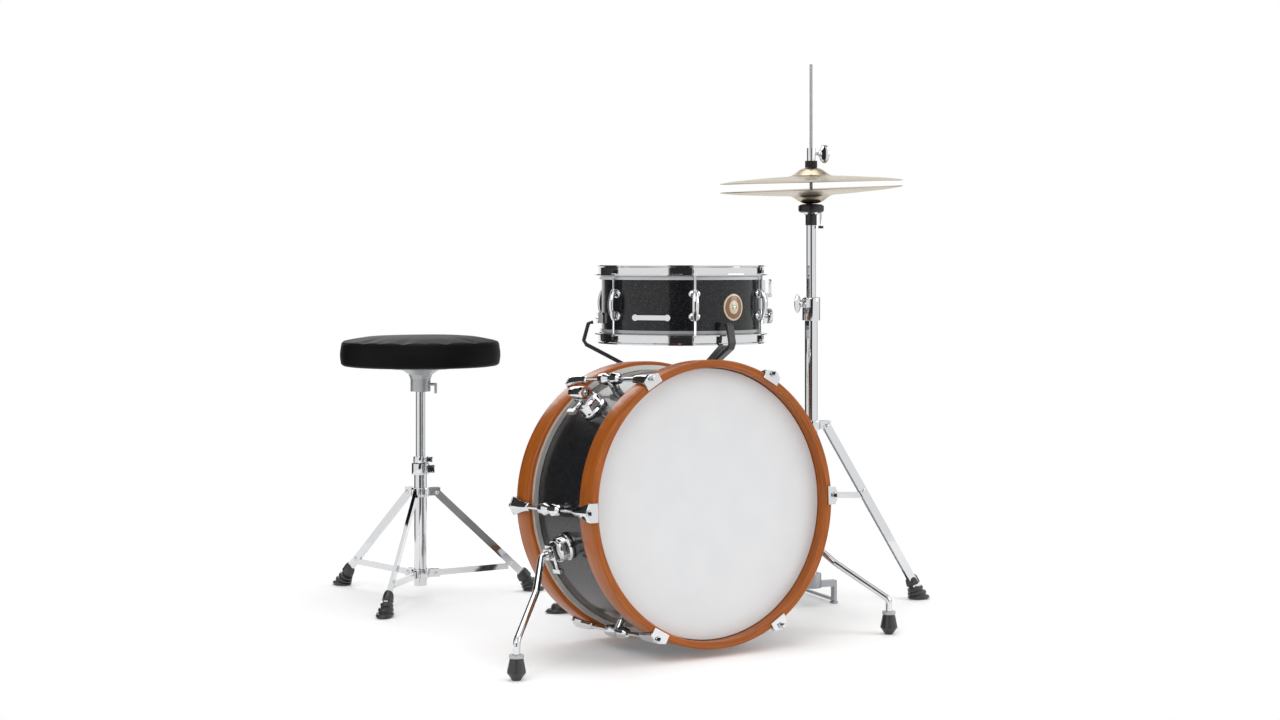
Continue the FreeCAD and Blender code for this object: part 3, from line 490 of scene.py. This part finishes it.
def boot_mesh(rib, sole, top, out, square):
    """A fan-shaped boot with chevron ribs, from its level sole up to the leg that it grips."""
    outline = [(0, 0), (15, 0), (19, 1.5), (21.5, 5)]
    for index in range(3):
        base = 7 + index * 9.0
        wide = 22.5 - 3.0 * index
        outline += [(wide, base), (wide - 0.7, base + 4.6), (wide - rib / MM, base + 5.0),
                    (wide - rib / MM - 0.4, base + 8.4)]
    outline += [(14.5, 35), (13.2, 46), (11.5, 50), (0, 50)]
    mesh = turned("boot", [(r * MM, z * MM) for r, z in outline], 48)
    side = Vector((0, 0, 1)).cross(out)
    for vert in mesh.vertices:
        x, y, z = vert.co
        if 6 * MM < z < 34 * MM:
            z -= abs(x) * RIB_DROOP
        part = z / BOOT_TALL
        front = out.lerp(square, part).normalized()
        vert.co = sole.lerp(top, part) + front * x + side * y * 0.74
    mesh.set_sharp_from_angle(angle=math.radians(35))
    return mesh


STANDS = {
    # stand: post node, leg angles, foot circle in mm, top pivot height in mm
    "throne": ("throne_post", (108, 228, 348), 236, 211),
    "snare_stand": ("snare_post", (32, 152, 272), 232, 150),
    "hihat": ("hihat_post", (-15, 200), 234, 352),
}
PIVOT_RADIUS = 30.1 * MM
LEG_TOE = 24 * MM


class KIT_OT_feet(bpy.types.Operator):
    """Ribbed rubber boots on the legs of the three stands"""
    bl_idname = "kit.feet"
    bl_label = "Rubber feet"

    def execute(self, context):
        look = context.scene.kit_look
        for stand, (post, angles, reach, top) in STANDS.items():
            axis = centre(post)
            axis.z = 0
            meshes = []
            for angle in angles:
                hip = axis + polar(PIVOT_RADIUS, angle, top * MM)
                toe = axis + polar((reach - 10) * MM, angle, LEG_TOE)
                along = (hip - toe).normalized()
                out = polar(1, angle)
                # The boot stands halfway between the leg's line and upright.
                spread_out = LEG_TOE * -along.dot(out) / along.z / 2
                sole = Vector((toe.x, toe.y, 0)) + out * spread_out
                square = polar(1, angle + 90).cross(along)
                meshes.append(boot_mesh(look.rib, sole, toe + along * LEG_TOE, out, square))
            boots = new_object(stand + "_boots", join_meshes(stand + "_boots", meshes))
            add_piece(boots, "kit_base", MATERIALS["black_rubber"], "black_rubber", stand + "_feet")
        return {"FINISHED"}


CLAW_SECTIONS = (
    # back from the hoop's front, half width, edge height, ridge height above the rod circle
    (-0.4, 16.0, 0.5, 6.0), (6.0, 15.2, 0.5, 7.0), (22.0, 11.0, 0.3, 7.0), (40.0, 7.6, 0.0, 6.2),
    (50.0, 7.0, -0.5, 4.6), (52.0, 6.4, -1.5, 2.6),
)


CLAW_LOW = -4.8         # underside, from the rod circle
CLAW_LIP = 10.2         # how far the lip reaches down past it
CLAW_CIRCLE = 5.3       # the rod circle, from the hoop's rim
HALF_HOOP = 22.0


def claw_mesh():
    """A cast claw along Y with a roof-shaped back, its lip over the hoop's face."""
    low = CLAW_LOW
    rings = []
    for back, half, edge, ridge in CLAW_SECTIONS:
        rings.append([(-half, back, low), (-half, back, edge), (-half * 0.3, back, ridge - 0.6),
                      (0, back, ridge), (half * 0.3, back, ridge - 0.6), (half, back, edge),
                      (half, back, low)])
    back_ring = rings[0]
    lip = [(x, -3.4, z if z > low else low - CLAW_LIP) for x, _, z in back_ring]
    lip_back = [(x, -0.5, z) for x, _, z in lip]
    verts = []
    faces = []
    for chain in ([lip, lip_back], rings):
        start = len(verts)
        sides = len(chain[0])
        for ring in chain:
            verts += ring
        for step in range(len(chain) - 1):
            for index in range(sides):
                after = (index + 1) % sides
                here = start + step * sides
                faces.append((here + index, here + sides + index, here + sides + after, here + after))
        faces.append(tuple(start + index for index in range(sides)))
        last = start + (len(chain) - 1) * sides
        faces.append(tuple(last + index for index in reversed(range(sides))))
    return mesh_from("claw", [Vector(v) * MM for v in verts], faces)


class KIT_OT_claws(bpy.types.Operator):
    """Cast claws that hold the wooden hoops"""
    bl_idname = "kit.claws"
    bl_label = "Hoop claws"

    def execute(self, context):
        front, rear = centre("front_hoop"), centre("rear_hoop")
        axis = (rear - front).normalized()
        low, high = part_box("front_hoop")
        hoop_radius = (high.x - low.x) / 2
        circle = hoop_radius + CLAW_CIRCLE * MM
        meshes = []
        for end, inward in ((front, axis), (rear, -axis)):
            for step in range(6):
                angle = math.radians(60 * step)
                up = Vector((1, 0, 0)).cross(axis)
                out = Vector((1, 0, 0)) * math.cos(angle) + up * math.sin(angle)
                across = inward.cross(out)
                place = Matrix((across, inward, out)).transposed().to_4x4()
                mesh = claw_mesh()
                start = end - inward * HALF_HOOP * MM + out * circle
                mesh.transform(Matrix.Translation(start) @ place)
                meshes.append(mesh)
        claws = new_object("hoop_claws", join_meshes("hoop_claws", meshes, smooth=False))
        soften(claws, 0.9 * MM, 20)
        add_piece(claws, "kit_base", MATERIALS["chrome"], "chrome", "bass_claws")
        return {"FINISHED"}


def bow_lug():
    """A bridge lug on its shell: a bowed spine between two flared feet, X outwards and Z up."""
    tall = 31 * MM
    steps = 24
    sides = 20
    verts = []
    faces = []
    for step in range(steps + 1):
        part = 2 * step / steps - 1
        full = 1 - part * part
        swell = 0.3 + 0.7 * math.sqrt(full)
        for index in range(sides):
            angle = 2 * math.pi * index / sides
            verts.append(Vector(((9.3 + 7.5 * full + 4.6 * swell * math.cos(angle)) * MM,
                                 6.6 * swell * math.sin(angle) * MM, part * tall)))
    for step in range(steps):
        for index in range(sides):
            after = (index + 1) % sides
            faces.append((step * sides + index, step * sides + after,
                          (step + 1) * sides + after, (step + 1) * sides + index))
    faces.append(tuple(reversed(range(sides))))
    faces.append(tuple(range(steps * sides, (steps + 1) * sides)))
    parts = [mesh_from("spine", verts, faces)]
    profile = [(0, -1), (1, -1), (1, 0.15), (0.93, 0.45), (0.72, 0.72), (0.5, 1), (0, 1.06)]
    for sign in (-1, 1):
        foot = turned("foot", profile, 32)
        for vert in foot.vertices:
            x, y, z = vert.co
            vert.co = Vector(((3.0 + 3.4 * z) * MM, y * 11.0 * MM, (sign * 21.0 + x * 8.5) * MM))
        parts.append(foot)
    return parts


WING_SCREWS = {
    # part: post or rod that it clamps, its turn, where it starts from that axis and its shank
    "clutch_wing_screw": ("pull_rod", -31.8, 8.8, 5.0),
    "hihat_wing_screw": ("hihat_post", 200.0, 29.1, 7.0),
    "snare_wing_screw": ("snare_post", 60.0, 29.1, 7.0),
}


def wing_mesh(reach):
    """A screw along X with one broad domed wing, upright."""
    shank = turned("shank", [(0, 0), (3, 0), (3, reach), (5.5, reach + 0.6), (5.5, reach + 5.4),
                             (4.2, reach + 7), (0, reach + 7)], 28)
    shank.transform(Matrix.Rotation(math.radians(90), 4, "Y"))
    disc = [(0, -1), (0.6, -0.86), (0.93, -0.5), (1, 0), (0.93, 0.5), (0.6, 0.86), (0, 1)]
    wing = turned("wing", disc, 40)
    for vert in wing.vertices:
        x, y, z = vert.co
        waist = 1 - 0.28 * math.exp(-(y / 0.22) ** 2) * (1 if x < 0 else 0)
        vert.co = Vector((reach + 12 + x * 10.5 * waist, z * 2.4, y * 18.5))
    whole = join_meshes("wing_screw", [shank, wing])
    whole.transform(Matrix.Scale(MM, 4))
    return whole


class KIT_OT_wing_screws(bpy.types.Operator):
    """Cast wing screws of the clutch and the height clamps"""
    bl_idname = "kit.wing_screws"
    bl_label = "Wing screws"

    def execute(self, context):
        for part, (post, degrees, start, reach) in WING_SCREWS.items():
            axis = centre(post)
            axis.z = centre(part).z
            mesh = wing_mesh(reach)
            turn = Matrix.Rotation(math.radians(degrees), 4, "Z")
            mesh.transform(Matrix.Translation(axis + polar(start * MM, degrees)) @ turn)
            screw = new_object(part + "_cast", mesh)
            add_piece(screw, BODY_OF[part], MATERIALS["chrome"], "chrome", part)
        return {"FINISHED"}


class KIT_OT_snare_lugs(bpy.types.Operator):
    """Bowed bridge lugs round the snare drum"""
    bl_idname = "kit.snare_lugs"
    bl_label = "Snare lugs"

    def execute(self, context):
        shell = centre("snare_shell")
        low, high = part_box("snare_shell")
        radius = (high.x - low.x) / 2
        meshes = []
        for step in range(6):
            angle = 6 + 60 * step
            place = Matrix.Translation(shell + polar(radius, angle))
            turn = Matrix.Rotation(math.radians(angle), 4, "Z")
            for mesh in bow_lug():
                mesh.transform(place @ turn)
                meshes.append(mesh)
        lugs = new_object("snare_bow_lugs", join_meshes("snare_bow_lugs", meshes))
        add_piece(lugs, BODY_OF["snare_lugs"], MATERIALS["chrome"], "chrome", "snare_lugs")
        return {"FINISHED"}


def domed_rivet(name, at, direction, radius):
    """A rivet head, domed at its outer side."""
    profile = [(radius, 0), (radius, 0.5 * MM), (radius * 0.8, 1.5 * MM), (radius * 0.45, 2.1 * MM),
               (0, 2.3 * MM)]
    mesh = turned(name, profile, 20)
    turn = Vector((0, 0, 1)).rotation_difference(direction).to_matrix().to_4x4()
    mesh.transform(Matrix.Translation(at) @ turn)
    return mesh


class KIT_OT_rivets(bpy.types.Operator):
    """Rivet heads at the leg and brace pivots"""
    bl_idname = "kit.rivets"
    bl_label = "Rivets"

    def execute(self, context):
        brace_low = {"throne": (48, 0.84), "snare_stand": (46, 0.84), "hihat": (214, 0.43)}
        for stand, (post, angles, reach, top) in STANDS.items():
            axis = centre(post)
            axis.z = 0
            low, part = brace_low[stand]
            meshes = []
            for angle in angles:
                hip = axis + polar(PIVOT_RADIUS, angle, top * MM)
                toe = axis + polar((reach - 10) * MM, angle, LEG_TOE)
                knee = hip + (toe - hip) * (part - 0.03)
                ankle = axis + polar(PIVOT_RADIUS, angle, low * MM)
                side = polar(1, angle + 90)
                wide = 8.4 if stand == "hihat" else 3.5
                for spot, half in ((hip + (toe - hip).normalized() * 3 * MM, max(wide, 5.9)),
                                   (knee, wide), (ankle, 5.9)):
                    for sign in (-1, 1):
                        at = spot + side * (sign * half * MM)
                        meshes.append(domed_rivet("rivet", at, side * sign, 4 * MM))
            rivets = new_object(stand + "_rivets", join_meshes(stand + "_rivets", meshes))
            add_piece(rivets, "kit_base", MATERIALS["chrome"], "chrome")
        return {"FINISHED"}


CUSHION_STEPS = 160
PUFF_FRAMES = 18
PUFF_LIMIT = 4 * MM


def puff_up(obj, seam):
    """Blow the cover up as cloth, held at its seam and along its base, and keep the result."""
    scene = bpy.context.scene
    held = obj.vertex_groups.new(name="held")
    base = min(vert.co.z for vert in obj.data.vertices)
    start = [vert.co.copy() for vert in obj.data.vertices]
    for vert in obj.data.vertices:
        if abs(vert.co.z - seam) < 3.5 * MM or vert.co.z < base + 2 * MM:
            held.add([vert.index], 1.0, "REPLACE")
    cloth = obj.modifiers.new("cloth", "CLOTH")
    settings = cloth.settings
    settings.quality = 6
    settings.mass = 0.4
    settings.tension_stiffness = 25
    settings.compression_stiffness = 25
    settings.shear_stiffness = 12
    settings.bending_stiffness = 15
    settings.use_pressure = True
    settings.uniform_pressure_force = 2.5
    settings.vertex_group_mass = "held"
    settings.effector_weights.gravity = 0
    for frame_number in range(1, PUFF_FRAMES + 1):
        scene.frame_set(frame_number)
    blown = obj.evaluated_get(bpy.context.evaluated_depsgraph_get()).to_mesh()
    ends = [vert.co.copy() for vert in blown.vertices]
    obj.evaluated_get(bpy.context.evaluated_depsgraph_get()).to_mesh_clear()
    obj.modifiers.remove(cloth)
    scene.frame_set(1)
    for vert, first, last in zip(obj.data.vertices, start, ends):
        move = last - first
        if move.length > PUFF_LIMIT:
            move = move.normalized() * PUFF_LIMIT
        vert.co = first + move
    obj.vertex_groups.clear()


class KIT_OT_cushion(bpy.types.Operator):
    """Round vinyl throne cushion: a crowned top panel, a welted seam and a side band"""
    bl_idname = "kit.cushion"
    bl_label = "Throne cushion"

    def execute(self, context):
        low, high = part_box("seat_cushion")
        middle = (low + high) / 2
        radius = (high.x - low.x) / 2
        tall = high.z - low.z
        base = tall * 0.02
        seam = tall * 0.75
        outline = [(0, base), (radius * 0.9, base), (radius * 0.955, base + 1 * MM),
                   (radius * 0.985, base + 5 * MM)]
        for step in range(7):
            part = step / 6
            bulge = 1 - (2 * part - 1) ** 2
            outline.append((radius * (0.985 + 0.013 * bulge),
                            base + 7 * MM + part * (seam - base - 12 * MM)))
        outline += [(radius * 0.988, seam - 3 * MM), (radius * 0.978, seam - 1 * MM)]
        for step in range(1, 12):
            angle = math.pi / 2 * step / 11
            outline.append((radius * (0.93 + 0.048 * math.cos(angle)),
                            seam + (tall * 0.885 - seam) * math.sin(angle)))
        for step in range(1, 9):
            part = step / 8
            outline.append((radius * 0.93 * (1 - part),
                            tall * (0.885 + 0.1 * math.sin(math.pi / 2 * part))))
        outline[-1] = (0, outline[-1][1])
        mesh = turned("cushion", outline, CUSHION_STEPS)
        for vert in mesh.vertices:
            flat = Vector((vert.co.x, vert.co.y))
            reach = flat.length / radius
            if reach < 0.05:
                continue
            turn = math.atan2(flat.y, flat.x)
            pull = math.exp(-((vert.co.z - seam) / (7 * MM)) ** 2)
            pucker = 0.3 * MM * pull * noise.noise(Vector((turn * 14, 0, 3)))
            dent = 0.6 * MM * noise.noise(Vector((flat.x * 12, flat.y * 12, 1.5)))
            if vert.co.z > seam:
                vert.co.z += dent
            vert.co.x *= 1 + pucker / radius
            vert.co.y *= 1 + pucker / radius
        obj = new_object("throne_cushion", mesh)
        mesh.transform(Matrix.Translation((middle.x, middle.y, low.z)))
        puff_up(obj, low.z + seam)
        smooth = obj.modifiers.new("smooth", "SUBSURF")
        smooth.levels = 1
        smooth.render_levels = 1
        add_piece(obj, BODY_OF["seat_cushion"], MATERIALS["vinyl"], "vinyl", "seat_cushion")
        welt_mesh = ring_mesh("welt", radius * 0.974, 1.5 * MM, CUSHION_STEPS)
        welt_mesh.transform(Matrix.Translation((middle.x, middle.y, low.z + seam)))
        welt = new_object("cushion_welt", welt_mesh)
        add_piece(welt, BODY_OF["seat_cushion"], MATERIALS["vinyl"], "vinyl")
        return {"FINISHED"}


def ring_mesh(name, radius, thick, steps):
    """A torus about Z."""
    verts = []
    faces = []
    sides = 10
    for step in range(steps):
        for side in range(sides):
            angle = 2 * math.pi * side / sides
            verts.append(polar(radius + thick * math.cos(angle), 360 * step / steps,
                               thick * math.sin(angle)))
    for step in range(steps):
        after = (step + 1) % steps
        for side in range(sides):
            beyond = (side + 1) % sides
            faces.append((step * sides + side, after * sides + side,
                          after * sides + beyond, step * sides + beyond))
    return mesh_from(name, verts, faces)


class KIT_OT_badge(bpy.types.Operator):
    """Oval enamel badge with a vent grommet and no lettering"""
    bl_idname = "kit.badge"
    bl_label = "Badge"

    def execute(self, context):
        spot = centre("snare_badge")
        shell = centre("snare_shell")
        out = Vector((spot.x - shell.x, spot.y - shell.y, 0)).normalized()
        side = Vector((0, 0, 1)).cross(out)
        low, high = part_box("snare_shell")
        shell_radius = (high.x - low.x) / 2
        rings = (("badge_rim", 23.0, 25.0, 1.5, "badge"), ("badge_band", 20.0, 22.0, 1.9, "badge_ring"),
                 ("badge_face", 11.0, 13.0, 2.3, "badge"), ("badge_grommet", 4.4, 4.4, 4.0, "chrome"))
        for name, half_wide, half_tall, proud, finish in rings:
            mesh = turned(name, [(0, 0), (1, 0), (1, 0.72), (0.94, 1), (0, 1)], 48)
            for vert in mesh.vertices:
                x, y, z = vert.co
                across = side * (x * half_wide * MM)
                rise = Vector((0, 0, y * half_tall * MM))
                drop = shell_radius - math.sqrt(shell_radius ** 2 - (x * half_wide * MM) ** 2)
                depth = out * ((z * proud + 0.15) * MM - drop)
                base = shell + out * shell_radius
                vert.co = Vector((base.x, base.y, spot.z)) + across + rise + depth
            obj = new_object(name, mesh)
            slot = "chrome" if finish == "chrome" else "badge"
            replaced = ("snare_badge",) if name == "badge_rim" else ()
            add_piece(obj, BODY_OF["snare_badge"], MATERIALS[finish], slot, *replaced)
        return {"FINISHED"}


# Directions of the black flags about the vertical, and their level against the white walls.
UPRIGHT_FLAGS = ((-180, 1), (-141, 1), (-139, 0.03), (-108, 0.03), (-106, 1), (5, 1), (7, 0.03),
                 (27, 0.03), (29, 1), (88, 1), (90, 0.03), (138, 0.06), (142, 1), (179.9, 1))
# The sine of a flag's height above the horizon.
HIGH_FLAGS = ((0.0, 1), (0.55, 1), (0.58, 0.1), (0.68, 0.1), (0.71, 1), (1.0, 1))


class KIT_OT_stage(bpy.types.Operator):
    """Pale floor, studio lights and the camera"""
    bl_idname = "kit.stage"
    bl_label = "Stage"

    def execute(self, context):
        stage = context.scene.kit_stage
        aim = centre("front_hoop")
        self.floor()
        self.lights()
        self.world(context)
        camera = bpy.data.cameras.new("camera")
        camera.sensor_width = 36.0
        camera.lens = stage.lens
        camera.shift_y = stage.drop
        camera.clip_end = 50.0
        obj = bpy.data.objects.new("camera", camera)
        context.scene.collection.objects.link(obj)
        obj.location = (aim.x - 1.891, aim.y - 2.825, stage.height)
        obj.rotation_euler = (math.radians(90), 0, -stage.turn)
        context.scene.camera = obj
        context.scene.view_settings.view_transform = "Standard"
        return {"FINISHED"}

    def floor(self):
        # A white board that ends short of the flags, so bright metal still mirrors them.
        mesh = turned("floor", [(0, 0), (1.25, 0)], 96)
        mesh.flip_normals()
        floor = new_object("floor", mesh)
        finish_with(floor, surface("studio_board", [
            (400.0, 2.0, {"tones": ((0.3, "#F4F4F4"), (0.7, "#F8F8F8"))})],
            Roughness=0.8, Emission_Strength=0.12, Emission_Color=linear("#FFFFFF")))

    def lights(self):
        lights = (("key", (-2.6, -2.6, 2.7), 2.2, 48), ("fill", (2.6, -2.4, 1.9), 1.8, 24),
                  ("top", (0.1, 0.3, 3.2), 2.6, 40), ("rim", (0.4, 3.2, 2.0), 1.6, 14))
        for name, place, size, power in lights:
            data = bpy.data.lights.new(name, "AREA")
            data.shape = "SQUARE"
            data.size = size
            data.energy = power
            obj = bpy.data.objects.new(name, data)
            bpy.context.scene.collection.objects.link(obj)
            obj.location = place
            aim = Vector((0, 0, 0.4)) - Vector(place)
            obj.rotation_euler = aim.to_track_quat("-Z", "Y").to_euler()

    def world(self, context):
        """A white studio with black flags, which chrome and gloss show as dark streaks."""
        world = bpy.data.worlds.new("studio")
        context.scene.world = world
        world.use_nodes = True
        tree = world.node_tree
        place = add(tree, "ShaderNodeTexCoord")
        split = add(tree, "ShaderNodeSeparateXYZ", links={"Vector": place.outputs["Generated"]})
        around = add(tree, "ShaderNodeMath", {"operation": "ARCTAN2"},
                     {0: split.outputs["Y"], 1: split.outputs["X"]})
        part = add(tree, "ShaderNodeMapRange", links={"Value": around.outputs[0]},
                   values={"From Min": -math.pi, "From Max": math.pi})
        # Black flags about the vertical, then black flags at a height.
        upright = add(tree, "ShaderNodeValToRGB", links={"Fac": part}, stops=[
            ((degrees + 180) / 360, (level, level, level, 1)) for degrees, level in UPRIGHT_FLAGS])
        raised = add(tree, "ShaderNodeValToRGB", links={"Fac": split.outputs["Z"]}, stops=[
            (height, (level, level, level, 1)) for height, level in HIGH_FLAGS])
        both = add(tree, "ShaderNodeMath", {"operation": "MULTIPLY"}, {0: upright, 1: raised})
        ray = add(tree, "ShaderNodeLightPath")
        shown = add(tree, "ShaderNodeMath", {"operation": "MAXIMUM"},
                    {0: both.outputs[0], 1: ray.outputs["Is Camera Ray"]})
        background = tree.nodes["Background"]
        tree.links.new(shown.outputs[0], background.inputs["Color"])
        background.inputs["Strength"].default_value = 1.0


class KIT_PT_panel(bpy.types.Panel):
    bl_idname = "KIT_PT_panel"
    bl_label = "Drum Kit"
    bl_space_type = "VIEW_3D"
    bl_region_type = "UI"
    bl_category = "Drum Kit"

    def draw(self, context):
        for name in ("chrome", "stain_dark", "stain", "stain_light", "bronze_dark", "bronze", "rib"):
            self.layout.prop(context.scene.kit_look, name)
        for operator in OPERATORS:
            self.layout.operator(operator.bl_idname)


OPERATORS = (KIT_OT_stage, KIT_OT_finishes, KIT_OT_two_finishes, KIT_OT_claws, KIT_OT_snare_lugs,
             KIT_OT_wing_screws, KIT_OT_feet, KIT_OT_rivets, KIT_OT_cushion, KIT_OT_badge)
CLASSES = (KitLook, KitStage) + OPERATORS + (KIT_PT_panel,)


def register():
    for entry in CLASSES:
        bpy.utils.register_class(entry)
    bpy.types.Scene.kit_look = bpy.props.PointerProperty(type=KitLook)
    bpy.types.Scene.kit_stage = bpy.props.PointerProperty(type=KitStage)


def unregister():
    del bpy.types.Scene.kit_look
    del bpy.types.Scene.kit_stage
    for entry in reversed(CLASSES):
        bpy.utils.unregister_class(entry)


def main():
    register()
    for operator in OPERATORS:
        getattr(bpy.ops.kit, operator.bl_idname.split(".")[1])()


if __name__ == "__main__":
    main()
